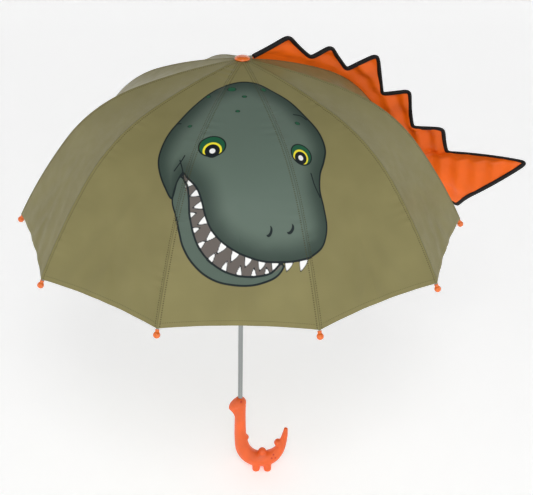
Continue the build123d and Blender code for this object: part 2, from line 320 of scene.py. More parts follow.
def nylonMaterial(name, printed):
    # plain weave from two crossed sets of threads, satin sheen, stitching and tape along the seams
    material, tree, shader = newMaterial(name)
    uv = coordinates(tree, "UV")
    across = waves(tree, uv, "X", nylon["threadsPerMetre"] / 6.283)
    along = waves(tree, uv, "Y", nylon["threadsPerMetre"] / 6.283)
    weave = value(tree, "MAXIMUM", across, along)
    blotch = noise(tree, uv, 14.0, 2.0)
    color = mixColor(tree, ramp(tree, blotch, 0.3, 0.7), nylon["shade"], nylon["color"])
    if printed:
        layers = (("artSkin", "skin"), ("artMouth", "mouth"), ("artJaw", "skin"), ("artLid", "lid"),
                  ("artYellow", "yellow"), ("artEye", "eye"), ("artTooth", "white"), ("artLine", "line"))
        for layer, tone in layers:
            edge = ramp(tree, attribute(tree, layer), -0.0003, 0.0003, 1.0, 0.0)
            paint = ink[tone]
            if tone == "skin":
                darker = ramp(tree, attribute(tree, "artShade"), 0.0, 1.0)
                paint = mixColor(tree, darker, ink["skin"], ink["skinShade"])
            color = mixColor(tree, edge, color, paint)
    seam = attribute(tree, "fromSeam")       # metres from the nearest seam
    hem = attribute(tree, "fromHem")
    nearSeam = ramp(tree, seam, 0.0, 0.0014, 1.0, 0.0)
    stitchRun = ramp(tree, value(tree, "ABSOLUTE", value(tree, "SUBTRACT", seam, 0.0034)), 0.0004, 0.0011, 1.0, 0.0)
    hemRun = ramp(tree, value(tree, "ABSOLUTE", value(tree, "SUBTRACT", hem, 0.0065)), 0.0, 0.0006, 1.0, 0.0)
    dashSeam = ramp(tree, waves(tree, uv, "Y", 330.0 / 6.283 * 2.0), 0.35, 0.5)
    dashHem = ramp(tree, waves(tree, uv, "X", 330.0 / 6.283 * 2.0), 0.35, 0.5)
    stitches = value(tree, "MAXIMUM", value(tree, "MULTIPLY", stitchRun, dashSeam),
                     value(tree, "MULTIPLY", hemRun, dashHem), clamp=True)
    dark = mixColor(tree, value(tree, "MULTIPLY", nearSeam, 0.45), color, srgb(60, 57, 34))
    color = mixColor(tree, value(tree, "MULTIPLY", stitches, 0.75), dark, srgb(70, 66, 38))
    link(tree, color, shader.inputs["Base Color"])
    rough = ramp(tree, noise(tree, uv, 60.0, 3.0), 0.3, 0.7, nylon["roughness"] - 0.05, nylon["roughness"] + 0.07)
    link(tree, rough, shader.inputs["Roughness"])
    shader.inputs["Sheen Weight"].default_value = nylon["sheen"]
    shader.inputs["Sheen Roughness"].default_value = 0.35
    shader.inputs["Specular IOR Level"].default_value = nylon["specular"]
    shader.inputs["Anisotropic"].default_value = 0.3
    crinkle = noise(tree, uv, 45.0, 4.0)
    height = value(tree, "ADD", value(tree, "MULTIPLY", weave, 0.10), value(tree, "MULTIPLY", crinkle, 0.8))
    height = value(tree, "SUBTRACT", height, value(tree, "MULTIPLY", stitches, 0.5))
    height = value(tree, "SUBTRACT", height, value(tree, "MULTIPLY", nearSeam, 0.8))
    bump(tree, shader, height, 0.35, 0.0006)
    return material


def plasticMaterial(name, color, roughness, coat, grain=900.0, depth=0.00006, dimpleColor=None):
    # moulded plastic: faint mottling, fine grain in the bump, and a little unevenness in the gloss
    material, tree, shader = newMaterial(name)
    place = coordinates(tree)
    mottle = noise(tree, place, 30.0, 3.0)
    darker = tuple(c * 0.86 for c in color)
    tone = mixColor(tree, ramp(tree, mottle, 0.35, 0.65), darker, color)
    # the handle turns a darker orange where its eye dimples and spot pits are sunk
    if dimpleColor:
        tone = mixColor(tree, attribute(tree, "dimpleDarkening"), tone, dimpleColor)
    link(tree, tone, shader.inputs["Base Color"])
    link(tree, ramp(tree, noise(tree, place, 120.0, 3.0), 0.3, 0.7, roughness - 0.04, roughness + 0.06),
         shader.inputs["Roughness"])
    shader.inputs["Coat Weight"].default_value = coat
    shader.inputs["Coat Roughness"].default_value = 0.18
    shader.inputs["Subsurface Weight"].default_value = 0.06
    shader.inputs["Subsurface Radius"].default_value = (0.004, 0.0012, 0.0006)
    bump(tree, shader, noise(tree, place, grain, 2.0), 0.25, depth)
    return material


def metalMaterial(name, color, roughness, drawn):
    # drawn metal: streaks along the part in gloss and tone
    material, tree, shader = newMaterial(name)
    place = coordinates(tree)
    streaks = noise(tree, place, 1.0, 4.0, stretch=drawn)
    dull = tuple(c * 0.8 for c in color)
    link(tree, mixColor(tree, ramp(tree, streaks, 0.3, 0.7), dull, color), shader.inputs["Base Color"])
    link(tree, ramp(tree, streaks, 0.3, 0.7, max(roughness - 0.05, 0.03), roughness + 0.08), shader.inputs["Roughness"])
    shader.inputs["Metallic"].default_value = 1.0
    bump(tree, shader, streaks, 0.15, 0.00004)
    return material


plastic = {
    "handle": srgb(250, 104, 34),
    # the darker orange laid into the handle's eye dimples and spot pits
    "ink": srgb(205, 50, 14),
    "tip": srgb(238, 112, 18),
    "dark": srgb(38, 38, 40),
}

clothPlain = nylonMaterial("oliveNylon", False)
clothPrinted = nylonMaterial("printedNylon", True)
handleMaterial = plasticMaterial("orangeHandle", plastic["handle"], 0.42, 0.12, dimpleColor=plastic["ink"])
tipMaterial = plasticMaterial("orangeTip", plastic["tip"], 0.28, 0.5, depth=0.00003)
darkMaterial = plasticMaterial("blackMoulding", plastic["dark"], 0.45, 0.1)
chromeMaterial = metalMaterial("chromedTube", (0.36, 0.38, 0.375), 0.16, (900.0, 900.0, 12.0))
ribMaterial = metalMaterial("silverRib", (0.52, 0.53, 0.55), 0.34, (260.0, 260.0, 260.0))
wireMaterial = metalMaterial("zincWire", (0.62, 0.63, 0.64), 0.30, (700.0, 700.0, 700.0))
print("materials ready")


# the print on the front: shapes on a map where (across, down) = distance along the seam x (sin, cos azimuth)
def curveThrough(points, closed=True, perSpan=14):
    # Catmull-Rom curve through the points, millimetres in, metres out
    p = np.asarray(points, float) * 0.001
    n = len(p)
    if closed:
        before, start, end, after = np.roll(p, 1, 0), p, np.roll(p, -1, 0), np.roll(p, -2, 0)
    else:
        ext = np.vstack([2 * p[0] - p[1], p, 2 * p[-1] - p[-2]])
        before, start, end, after = ext[:-3], ext[1:-2], ext[2:-1], ext[3:]
    t = np.linspace(0.0, 1.0, perSpan, endpoint=False)[None, :, None]
    b, s, e, a = (x[:, None, :] for x in (before, start, end, after))
    c = 0.5 * (2 * s + (e - b) * t + (2 * b - 5 * s + 4 * e - a) * t ** 2 + (3 * s - b - 3 * e + a) * t ** 3)
    c = c.reshape(-1, 2)
    return c if closed else np.vstack([c, p[-1]])


def strokeDistance(q, line, closed=False):
    # shortest distance from each point to the line's straight runs
    a = line
    b = np.roll(line, -1, 0) if closed else line[1:]
    a = a if closed else line[:-1]
    best = np.full(len(q), 1.0)
    for s, e in zip(a, b):
        run = e - s
        t = np.clip(((q - s) @ run) / max(run @ run, 1e-12), 0.0, 1.0)
        best = np.minimum(best, np.linalg.norm(q - s - t[:, None] * run, axis=1))
    return best


def insideOf(q, line):
    # even-odd count of the outline's crossings to the right of each point
    inside = np.zeros(len(q), bool)
    for s, e in zip(line, np.roll(line, -1, 0)):
        crosses = (s[1] > q[:, 1]) != (e[1] > q[:, 1])
        at = (e[0] - s[0]) * (q[:, 1] - s[1]) / (e[1] - s[1] + 1e-15) + s[0]
        inside ^= crosses & (q[:, 0] < at)
    return inside


def areaDistance(q, line):
    # signed distance to a closed outline, less than nothing inside it
    d = strokeDistance(q, line, closed=True)
    return np.where(insideOf(q, line), -d, d)


def ovalDistance(q, centre, half, turn=0.0):
    # roughly the distance to an oval with the given half sizes
    c, s = math.cos(math.radians(turn)), math.sin(math.radians(turn))
    d = q - np.asarray(centre, float) * 0.001
    x, y = d[:, 0] * c + d[:, 1] * s, -d[:, 0] * s + d[:, 1] * c
    a, b = half[0] * 0.001, half[1] * 0.001
    return (np.hypot(x / a, y / b) - 1.0) * min(a, b)


face = {
    "turn": 1.03,          # degrees that the whole print is turned about the shaft
    "line": 2.8,           # width of the drawn outline
    "head": [(-10, 66), (20, 64), (48, 77), (74, 92), (98, 116), (120, 142), (132, 170), (131, 194), (126, 216),
             (127, 240), (136, 262), (144, 284), (144, 302), (137, 318), (118, 332), (94, 345), (70, 352),
             (46, 355), (22, 352), (0, 345), (-22, 332), (-38, 315), (-47, 295), (-52, 273), (-58, 255),
             (-68, 240), (-78, 229), (-88, 240), (-97, 262), (-110, 244), (-119, 222), (-122, 200),
             (-117, 179), (-106, 156), (-90, 134), (-70, 109), (-44, 84)],
    "jaw": [(-84, 234), (-72, 246), (-70, 266), (-70, 288), (-67, 310), (-61, 330), (-49, 349), (-30, 365),
            (-7, 375), (18, 378), (42, 375), (60, 368), (73, 354), (78, 357), (71, 369), (57, 379), (32, 388),
            (4, 390), (-27, 385), (-52, 372), (-71, 352), (-82, 330), (-86, 309), (-89, 288), (-96, 264)],
    "mouth": [(-78, 229), (-66, 240), (-56, 257), (-51, 275), (-46, 296), (-37, 316), (-20, 333), (0, 346),
              (24, 352), (48, 355), (76, 351), (72, 360), (60, 369), (42, 376), (18, 379), (-7, 376), (-30, 366),
              (-50, 350), (-62, 330), (-68, 310), (-71, 288), (-71, 266), (-74, 248)],
    "eyes": [((-37, 192), (18.5, 17.0), 0.0, (-37, 199)), ((93, 193), (17.5, 16.0), 32.0, (92, 198))],
    "nostrils": [((52, 314), 12.0), ((83, 304), 20.0)],
    "spots": [(-48, 92, 3.2), (-13, 80, 5.2), (6, 96, 3.0), (-3, 127, 2.8), (33, 77, 4.0), (87, 136, 3.4),
              (-73, 150, 3.0)],
    "corner": (-79, 230),
    "creases": [[(-77, 202), (-84, 212), (-94, 223)], [(-85, 208), (-80, 222), (-76, 238)],
                [(110, 219), (117, 235), (128, 250)], [(81, 119), (92, 118), (101, 123)],
                [(-88, 141), (-93, 140), (-98, 145)]],
    # upper fangs: root along the lip, length, and lean; lower ones stand on the jaw
    "fangs": [(-65, 243, 12, 135), (-55, 260, 14, 155), (-50, 279, 15, 165), (-44, 299, 16, 150),
              (-34, 319, 17, 135), (-18, 335, 17, 125), (1, 346, 16, 115), (22, 352, 15, 105), (44, 355, 14, 97),
              (65, 353, 13, 95), (86, 348, 14, 92), (107, 338, 18, 88)],
    "lowerTeeth": [(-71, 290, 11, -15), (-67, 312, 12, -20), (-58, 334, 12, -38), (-41, 355, 13, -55),
                   (-19, 369, 13, -72), (6, 376, 13, -86), (31, 377, 12, -98), (53, 371, 9, -110)],
}


def toothOutline(x, y, length, heading, width):
    # a curved fang: two bowed sides from the root to a point; heading 90 is straight down the canopy
    a = math.radians(heading)
    down = np.array([math.cos(a), math.sin(a)])
    side = np.array([-down[1], down[0]])
    root = np.array([x, y], float)
    t = np.linspace(0.0, 1.0, 7)[:, None]
    bend = side * 0.16 * length * (t ** 2)
    left = root - side * width / 2 + down * length * t + side * (width / 2) * t ** 1.9 - down * 4.0 * (1 - t) + bend
    right = root + side * width / 2 + down * length * t - side * (width / 2) * t ** 1.9 - down * 4.0 * (1 - t) + bend
    return np.vstack([left, right[::-1][1:]]) * 0.001


def faceLayers(azimuth, distance):
    # one signed distance, in metres, for each colour of the print
    azimuth = azimuth + math.radians(face["turn"])
    q = np.stack([np.ravel(distance * np.sin(azimuth)), np.ravel(distance * np.cos(azimuth))], -1)
    shape = np.shape(distance)
    layers = {k: np.full(len(q), 0.05) for k in
              ("artSkin", "artMouth", "artJaw", "artLid", "artYellow", "artEye", "artTooth", "artLine")}
    shade = np.zeros(len(q))
    near = (q[:, 1] > 0.045) & (q[:, 1] < 0.41) & (q[:, 0] > -0.14) & (q[:, 0] < 0.16)
    p = q[near]
    if len(p):
        half = face["line"] * 0.0005
        head = curveThrough(face["head"])
        jaw = curveThrough(face["jaw"])
        mouth = curveThrough(face["mouth"])
        headD, jawD, mouthD = areaDistance(p, head), areaDistance(p, jaw), areaDistance(p, mouth)
        lines = [np.abs(headD) - half, np.abs(jawD) - half]
        lids, yellows, eyes, whites, teeth = [], [], [], [], []
        for centre, size, turn, iris in face["eyes"]:
            lid = ovalDistance(p, centre, size, turn)
            ball = ovalDistance(p, iris, (size[0] * 0.72, size[1] * 0.80), turn)
            ball = np.maximum(ball, lid + 0.0012)
            lids.append(lid)
            lines.append(np.abs(lid) - half * 0.7)
            yellows.append(ball)
            eyes.append(ovalDistance(p, (iris[0], iris[1] + 1), (size[0] * 0.57, size[1] * 0.66), turn))
            whites.append(ovalDistance(p, (iris[0], iris[1] + 1), (4.2, 4.2)))
        for centre, turn in face["nostrils"]:
            big = ovalDistance(p, centre, (4.8, 8.0), turn)
            cut = ovalDistance(p, (centre[0] - 3.2, centre[1] - 2.0), (4.6, 7.5), turn)
            lines.append(np.maximum(big, -cut))
        for x, y, radius in face["spots"]:
            spot = ovalDistance(p, (x, y), (radius * 1.15, radius * 0.85))
            lids.append(spot)
            lines.append(np.abs(spot) - 0.0004)
        for crease in face["creases"]:
            lines.append(strokeDistance(p, curveThrough(crease, closed=False)) - half * 0.75)
        for row, width, keepOut in (("fangs", 13.0, -headD), ("lowerTeeth", 10.0, mouthD)):
            for x, y, length, heading in face[row]:
                tooth = np.maximum(areaDistance(p, toothOutline(x, y, length, heading, width)), keepOut)
                teeth.append(tooth)
                lines.append(np.abs(tooth) - half * 0.5)
        lines.append(ovalDistance(p, face["corner"], (2.4, 3.2)))
        layers["artSkin"][near] = headD
        layers["artJaw"][near] = np.maximum(jawD, -mouthD)
        layers["artMouth"][near] = mouthD
        layers["artLid"][near] = np.min(lids, 0)
        layers["artYellow"][near] = np.min(yellows, 0)
        layers["artEye"][near] = np.min(eyes, 0)
        layers["artTooth"][near] = np.minimum(np.min(teeth, 0), np.min(whites, 0))
        layers["artLine"][near] = np.min(lines, 0)
        shade[near] = np.where(headD < 0.0, smooth(1.0 + headD / 0.040) * 0.9, 0.30)
    return {k: v.reshape(shape) for k, v in layers.items()} | {"artShade": shade.reshape(shape)}


# canopy
canopy = {
    "scallop": 0.0045,        # the hem rises between the tips
    "dish": 0.0045,           # the cloth sinks between its seams
    "pucker": 0.0007,         # little gathers along the stitching
    "puckerSpacing": 0.016,
    "hemTurn": 0.010,
    "closedShare": 0.33,      # how wide a gore is when the ribs are folded
}


def gorePoints(k, across, along):
    # a gore between two ribs: the chord between its seams, sunk a little in the middle, gathered at the stitching.
    # across runs -1..1 from seam to seam, along runs 0..1 from the peak to the hem
    a, t = np.meshgrid(across, along, indexing="xy")
    half = math.pi / umbrella["ribs"]
    first = 0.006
    rise = canopy["scallop"] * (1.0 - a ** 2) * smooth((t - 0.75) / 0.25)
    d = first + (seamLength - first) * t - rise
    x, z, slope = alongSeam(d)
    middle = x * math.cos(half)                     # how far out the flat gore lies
    offset = x * math.sin(half) * a
    edge = 1.0 - np.abs(a)
    sink = canopy["dish"] * (1.0 - a ** 2) * smooth(t * 2.2) * (1.0 - 0.4 * smooth((t - 0.8) / 0.2))
    distanceToSeam = edge * x * math.sin(half)
    ripple = np.sin(2.0 * math.pi * d / canopy["puckerSpacing"] + 1.7 * np.sin(d * 90.0 + k))
    ripple = ripple * canopy["pucker"] * np.exp(-distanceToSeam / 0.010) * smooth(distanceToSeam / 0.002)
    ripple = ripple * (0.55 + 0.45 * np.sin(d * 37.0 + 2.1 * k))
    # broad soft drag lines that run from the tips towards the middle of the gore
    drag = 0.0011 * np.sin(distanceToSeam * 130.0 - (seamLength - d) * 46.0 + k) * smooth((t - 0.55) / 0.45) * edge
    off = -sink + ripple + drag * smooth(distanceToSeam / 0.02)
    normalOut, normalUp = np.sin(slope), np.cos(slope)
    local = np.stack([middle + off * normalOut, offset, z + off * normalUp + 0.0 * a], -1)
    azimuth = np.arctan2(offset, middle) + panelAzimuth(k)
    return local, azimuth, d, distanceToSeam, offset


def makeGore(k, printed):
    cols, rows = (151, 331) if printed else (57, 121)
    across = np.linspace(-1.0, 1.0, cols)
    along = np.linspace(0.0, 1.0, rows)
    local, azimuth, d, fromSeam, offset = gorePoints(k, across, along)
    points = placed(local, panelAzimuth(k))
    hemPoints = []
    # the hem is turned under twice: a narrow lip below the edge
    x, z, slope = alongSeam(d[-1])
    out = outward(panelAzimuth(k))
    for drop, back in ((0.0006, 0.0), (0.0009, 0.003), (0.0009, canopy["hemTurn"])):
        move = (-np.sin(slope)[:, None] * out * drop - np.cos(slope)[:, None] * np.array([0, 0, 1.0]) * drop
                - np.cos(slope)[:, None] * out * back + np.sin(slope)[:, None] * np.array([0, 0, 1.0]) * back)
        hemPoints.append(points[-1] + move)
    grid = np.concatenate([points, np.array(hemPoints)], 0)
    total = rows + len(hemPoints)
    name = f"canopyGore{k:02d}"
    obj = makeMesh(name, grid, gridFaces(total, cols).tolist(), clothPrinted if printed else clothPlain)
    extra = len(hemPoints)
    pad = lambda values, step=0.0: np.concatenate([values, np.repeat(values[-1:], extra, 0) + step], 0)
    addUv(obj, pad(offset), pad(d))
    addValues(obj, "fromSeam", pad(fromSeam))
    addValues(obj, "fromHem", pad(d[-1][None, :] - d))
    if printed:
        signed = (azimuth + math.pi) % (2.0 * math.pi) - math.pi
        for layer, values in faceLayers(signed, d).items():
            addValues(obj, layer, pad(values) if layer == "artShade" else np.concatenate(
                [values, np.full((extra, cols), 0.05)], 0))
    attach(obj, f"gore_{k:02d}")
    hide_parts(f"panel_{k:02d}")
    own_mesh(obj)
    return obj


for k in range(1, umbrella["ribs"] + 1):
    makeGore(k, k in (9, 10, 1))
print("canopy gores made")


# seam ridges: the lapped edges of two gores, stitched along each rib
seamTape = {"width": 0.0012, "height": 0.0005, "steps": 220}


def makeSeamRidge(k):
    # a low rounded welt over the rib, waved a little by the stitches
    d = np.linspace(0.010, seamLength - 0.001, seamTape["steps"])
    x, z, slope = alongSeam(d)
    across = np.linspace(-1.0, 1.0, 9)
    profile = np.cos(across * math.pi / 2) ** 0.6
    wave = 1.0 + 0.10 * np.sin(d * 2.0 * math.pi / 0.006)[:, None]
    lift = (profile[None, :] * seamTape["height"] * wave) - 0.0002
    local = np.stack([x[:, None] + lift * np.sin(slope)[:, None],
                      across[None, :] * seamTape["width"] + 0.0 * lift,
                      z[:, None] + lift * np.cos(slope)[:, None]], -1)
    printed = k in (10, 1)
    obj = makeMesh(f"seamWelt{k:02d}", placed(local, ribAzimuth(k)), gridFaces(len(d), 9).tolist(),
                   clothPrinted if printed else clothPlain)
    addUv(obj, np.broadcast_to(across * seamTape["width"], lift.shape), np.broadcast_to(d[:, None], lift.shape))
    addValues(obj, "fromSeam", np.abs(np.broadcast_to(across * seamTape["width"] * 1.5, lift.shape)))
    addValues(obj, "fromHem", np.full(lift.shape, 0.05))
    if printed:
        turned = (ribAzimuth(k) + math.pi) % (2.0 * math.pi) - math.pi
        middle = np.broadcast_to(d[:, None], lift.shape)
        for layer, values in faceLayers(np.full(lift.shape, turned), middle).items():
            addValues(obj, layer, values)
    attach(obj, f"arm_{k:02d}")
    return obj


for k in range(1, umbrella["ribs"] + 1):
    makeSeamRidge(k)
print("seam welts made")


# spine fin
fin = {
    # along the seam, off it, lean to the front: foot, then peak and valley by turns, the long tail, and back
    "outline": [(18, 4, 20), (64, 42, 20), (124, 13, 20), (146, 40, 22), (200, 13, 25), (220, 60, 28),
                (286, 21, 30), (305, 62, 32), (373, 39, 38), (392, 86, 42), (438, 78, 45), (462, 208, 55),
                (500, 112, 70), (530, 80, 70), (442, 5, 40)],
    "foot": 0.0003,
    "rows": 26,
    "step": 0.0025,
    "color": srgb(255, 108, 12),
    "fold": 0.0036,
    "tapeWidth": 0.0076,
    "tapeThickness": 0.0050,
    "across": (0.39, 0.80, 0.46),   # roughly square to the cloth
}


def finPlace(distance, height, lean):
    # off the seam's normal by height, leaned towards the front
    x, z, slope = alongSeam(distance)
    lean = np.radians(lean)
    local = np.stack([x + height * np.cos(lean) * np.sin(slope), -height * np.sin(lean),
                      z + height * np.cos(lean) * np.cos(slope)], -1)
    return placed(local, ribAzimuth(umbrella["finRib"]))


def plainMaterial(name, color, kind):
    # satin for the fin, ribbed tape for its edge
    material, tree, shader = newMaterial(name)
    uv = coordinates(tree, "UV")
    if kind == "satin":
        tone = noise(tree, uv, 18.0, 3.0)
        link(tree, mixColor(tree, ramp(tree, tone, 0.3, 0.7), tuple(c * 0.84 for c in color), color),
             shader.inputs["Base Color"])
        threads = value(tree, "MAXIMUM", waves(tree, uv, "X", 360.0), waves(tree, uv, "Y", 360.0))
        crease = noise(tree, uv, 34.0, 5.0, stretch=(1.0, 2.6, 1.0))
        bump(tree, shader, value(tree, "ADD", value(tree, "MULTIPLY", threads, 0.08), crease), 0.55, 0.0011)
        shader.inputs["Roughness"].default_value = 0.40
        shader.inputs["Specular IOR Level"].default_value = 0.28
    else:
        ribsAndGrooveShade = waves(tree, uv, "Y", 250.0)
        # painted shade: the tape is half as bright in the grooves between its ribs, in step with the bump
        link(tree, mixColor(tree, ribsAndGrooveShade, tuple(c * 0.5 for c in color), color), shader.inputs["Base Color"])
        bump(tree, shader, ribsAndGrooveShade, 0.4, 0.0003)
        shader.inputs["Roughness"].default_value = 0.7
        shader.inputs["Specular IOR Level"].default_value = 0.3
    return material


finMaterial = plainMaterial("orangeSatin", fin["color"], "satin")
tapeMaterial = plainMaterial("blackTape", srgb(24, 21, 21), "tape")


def finOuterEdge():
    # the outline's free edge as a run of points in (distance, height, lean), with its peaks and valleys rounded
    corners = np.array(fin["outline"], float) * np.array([0.001, 0.001, 1.0])
    runs = []
    for a, b in zip(corners, corners[1:]):
        n = max(int(np.linalg.norm((b - a)[:2]) / fin["step"]), 3)
        t = np.linspace(0.0, 1.0, n, endpoint=False)[:, None]
        bow = np.sin(math.pi * t) * np.array([0.0, -0.035 * np.linalg.norm((b - a)[:2]), 0.0])
        runs.append(a + (b - a) * t + bow)
    runs.append(corners[-1:])
    line = np.vstack(runs)
    for _ in range(9):                      # a running mean rounds each corner by a few millimetres
        line[1:-1] = (line[:-2] + 2.0 * line[1:-1] + line[2:]) / 4.0
    return line


def makeFin():
    # straight threads from the foot on the seam to the free edge, with folds that grow away from both
    edge = finOuterEdge()
    n = len(edge)
    length = np.concatenate([[0.0], np.cumsum(np.linalg.norm(np.diff(edge[:, :2], axis=0), axis=1))])
    share = length / length[-1]
    # each free point is met by a foot point: the seam's own run, gathered in step with the edge
    footStart, footEnd = edge[0, 0], edge[-1, 0]
    reach = np.maximum.accumulate(np.minimum(edge[:, 0], footEnd))
    footD = np.maximum(reach, footStart)
    footD = 0.85 * footD + 0.15 * (footStart + (footEnd - footStart) * share)
    foot = np.stack([footD, np.full(n, fin["foot"]), edge[:, 2]], -1)
    t = np.linspace(0.0, 1.0, fin["rows"])[:, None, None]
    rest = foot[None] * (1 - t) + edge[None] * t
    points = finPlace(rest[..., 0], rest[..., 1], rest[..., 2])
    tt = t[..., 0]
    fold = (np.sin(rest[..., 1] * 210.0 + rest[..., 0] * 21.0)
            + 0.6 * np.sin(rest[..., 0] * 140.0 - rest[..., 1] * 60.0)) * fin["fold"]
    fold = fold * np.sin(math.pi * np.clip(tt, 0, 1)) ** 0.7 * np.clip(rest[..., 1] / 0.03, 0.2, 1.0)
    points = points + fold[..., None] * np.array(fin["across"])
    obj = makeMesh("spineFinCloth", points, gridFaces(fin["rows"], n).tolist(), finMaterial)
    addUv(obj, rest[..., 0], rest[..., 1])
    cells = np.linalg.norm(np.cross(points[1:, :-1] - points[:-1, :-1], points[:-1, 1:] - points[:-1, :-1]), axis=-1)
    area = float(cells.sum())
    thick = obj.modifiers.new("twoPlies", "SOLIDIFY")
    thick.thickness = 0.0009
    thick.offset = 0.0
    applied(obj)
    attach(obj, f"arm_{umbrella['finRib']:02d}")
    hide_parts("spine_fin")
    return obj, edge, area


def makeFinTape(edge):
    # a flattened tube along the free edge, folded over the cloth
    path = finPlace(edge[:, 0], edge[:, 1], edge[:, 2])
    points, faces = sweep(path, fin["tapeWidth"] / 2, sides=10, up=fin["across"])
    side = np.array(fin["across"]) / np.linalg.norm(fin["across"])
    ring = points.reshape(len(path), 10, 3)
    away = (ring - path[:, None, :]) @ side
    ring = ring - away[..., None] * side * (1.0 - fin["tapeThickness"] / fin["tapeWidth"])
    obj = makeMesh("spineFinTape", ring, faces, tapeMaterial)
    length = np.concatenate([[0.0], np.cumsum(np.linalg.norm(np.diff(path, axis=0), axis=1))])
    size = (len(path), 10)
    addUv(obj, np.broadcast_to(np.linspace(0, 0.02, 10), size), np.broadcast_to(length[:, None], size))
    outwardFaces(obj)
    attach(obj, f"arm_{umbrella['finRib']:02d}")
    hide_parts("fin_binding")
    return obj


finCloth, finEdge, finArea = makeFin()
finTape = makeFinTape(finEdge)
print("fin made")


# handle
dinosaur = {
    "line": [(0, 36, 10), (0, 20, 9.5), (0, -10, 10), (0.5, -30, 10.5), (4, -56, 13), (13, -71, 14),
             (26, -79.5, 14), (39, -80, 14), (52, -77.5, 13.5), (64, -67, 11), (71.5, -55, 8),
             (76, -37, 6.2), (79, -20, 4.6), (79, -15.5, 3.6)],
    "head": (-0.5, 41.5, 11.0),
    "tailEnd": (79, -15.5, 4.0),
    # from the brow down to the blunt nose, then back along the jaw to the neck
    "muzzle": [(-5, 39, 10.0), (-9.5, 35.5, 8.6), (-12.6, 32, 7.0), (-13.6, 30.4, 6.2), (-9.5, 27.5, 7.2),
               (-6, 23, 7.6), (-3.2, 18, 8.2)],
    "humps": [(66, -44, 7.0), (39, -64, 7.5), (9.5, -33, 6.0)],
    "feetX": (28.5, 48.5),
    "footY": 7.5,
    "sole": -98.0,
    "footHeights": (-98.0, -96.0, -90.0, -84.0),
    "footRadii": (6.3, 6.9, 6.9, 6.5),
    "voxel": 0.0011,
    "eye": (1.5, 48.0, 2.1),
    "spots": [(58.5, -64), (55.5, -70), (62, -69.5)],
}


def ballPoints(centre, radius, rows=20, cols=28):
    # latitude and longitude rings with both poles closed
    lat = np.linspace(-math.pi / 2, math.pi / 2, rows)[1:-1]
    lon = np.linspace(0.0, 2.0 * math.pi, cols, endpoint=False)
    a, b = np.meshgrid(lat, lon, indexing="ij")
    ring = np.stack([np.cos(a) * np.cos(b), np.cos(a) * np.sin(b), np.sin(a)], -1).reshape(-1, 3)
    points = np.vstack([ring, [[0, 0, -1.0], [0, 0, 1.0]]]) * radius + np.asarray(centre, float)
    faces = gridFaces(rows - 2, cols, wrapCols=True).tolist()
    low, high = len(ring), len(ring) + 1
    faces += [[low, (j + 1) % cols, j] for j in range(cols)]
    top = (rows - 3) * cols
    faces += [[high, top + j, top + (j + 1) % cols] for j in range(cols)]
    return points, faces


def joined(shells):
    points, faces, base = [], [], 0
    for p, f in shells:
        points.append(p)
        faces += [[i + base for i in face] for face in f]
        base += len(p)
    return np.vstack(points), faces


def makeHandle():
    # the hook's skin, head, snout, humps and feet are remeshed into one skin and smoothed, then dimpled
    line = np.array(dinosaur["line"], float)
    span = np.concatenate([[0.0], np.cumsum(np.linalg.norm(np.diff(line[:, :2], axis=0), axis=1))])
    fine = np.linspace(0.0, span[-1], 90)
    wanted = np.stack([np.interp(fine, span, line[:, i]) for i in range(3)], -1)
    for _ in range(14):
        wanted[1:-1] = (wanted[:-2] + 2.0 * wanted[1:-1] + wanted[2:]) / 4.0
    path = np.stack([wanted[:, 0], np.zeros(len(fine)), wanted[:, 1]], -1) * 0.001
    shells = [sweep(path, wanted[:, 2] * 0.001, sides=32, up=(0.0, 1.0, 0.0))]
    for x, z, radius in [dinosaur["head"], dinosaur["tailEnd"]] + dinosaur["muzzle"] + dinosaur["humps"]:
        shells.append(ballPoints((x * 0.001, 0.0, z * 0.001), radius * 0.001))
    for x in dinosaur["feetX"]:
        for s in (-1, 1):
            foot = np.array([(x, s * dinosaur["footY"], z) for z in dinosaur["footHeights"]]) * 0.001
            shells.append(sweep(foot, np.array(dinosaur["footRadii"]) * 0.001, sides=28, up=(0.0, 1.0, 0.0)))
    points, faces = joined(shells)
    obj = makeMesh("dinosaurHandle", points, faces, handleMaterial)
    outwardFaces(obj)
    remesh = obj.modifiers.new("oneSkin", "REMESH")
    remesh.mode = "VOXEL"
    remesh.voxel_size = dinosaur["voxel"]
    remesh.use_smooth_shade = True
    applied(obj)
    soften = obj.modifiers.new("soften", "SMOOTH")
    soften.factor = 0.5
    soften.iterations = 7
    applied(obj)
    co = np.empty(len(obj.data.vertices) * 3)
    obj.data.vertices.foreach_get("co", co)
    co = co.reshape(-1, 3)
    floor = dinosaur["sole"] * 0.001
    co[:, 2] = np.where(co[:, 2] < floor + 0.0009, floor, co[:, 2])
    # darker colour where the eye dimples and spot pits are sunk, worked out with them below
    dimpleDarkening = np.zeros(len(co))
    # eye dimples: a shallow round dish on each side of the head
    ex, ez, er = (v * 0.001 for v in dinosaur["eye"])
    r = np.hypot(co[:, 0] - ex, co[:, 2] - ez)
    dish = 0.0013 * (1.0 - smooth((r - er * 0.55) / (er * 0.6)))
    onHead = np.abs(co[:, 1]) > 0.006
    co[:, 1] -= np.sign(co[:, 1]) * dish * onHead
    dimpleDarkening = np.maximum(dimpleDarkening, onHead * (1.0 - smooth((r - er * 0.55) / (er * 0.4))))
    for x, z in dinosaur["spots"]:
        r = np.hypot(co[:, 0] - x * 0.001, co[:, 2] - z * 0.001)
        pit = 0.0009 * (1.0 - smooth((r - 0.0008) / 0.0012))
        co[:, 1] -= np.sign(co[:, 1]) * pit * (np.abs(co[:, 1]) > 0.005)
        dimpleDarkening = np.maximum(dimpleDarkening, (np.abs(co[:, 1]) > 0.005) * (1.0 - smooth((r - 0.0011) / 0.0009)))
    obj.data.vertices.foreach_set("co", co.ravel())
    obj.data.polygons.foreach_set("use_smooth", np.ones(len(obj.data.polygons), bool))
    addValues(obj, "dimpleDarkening", dimpleDarkening)
    obj.data.materials.clear()
    obj.data.materials.append(handleMaterial)
    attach(obj, "shaft")
    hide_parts("handle")
    return obj


makeHandle()
print("handle made")
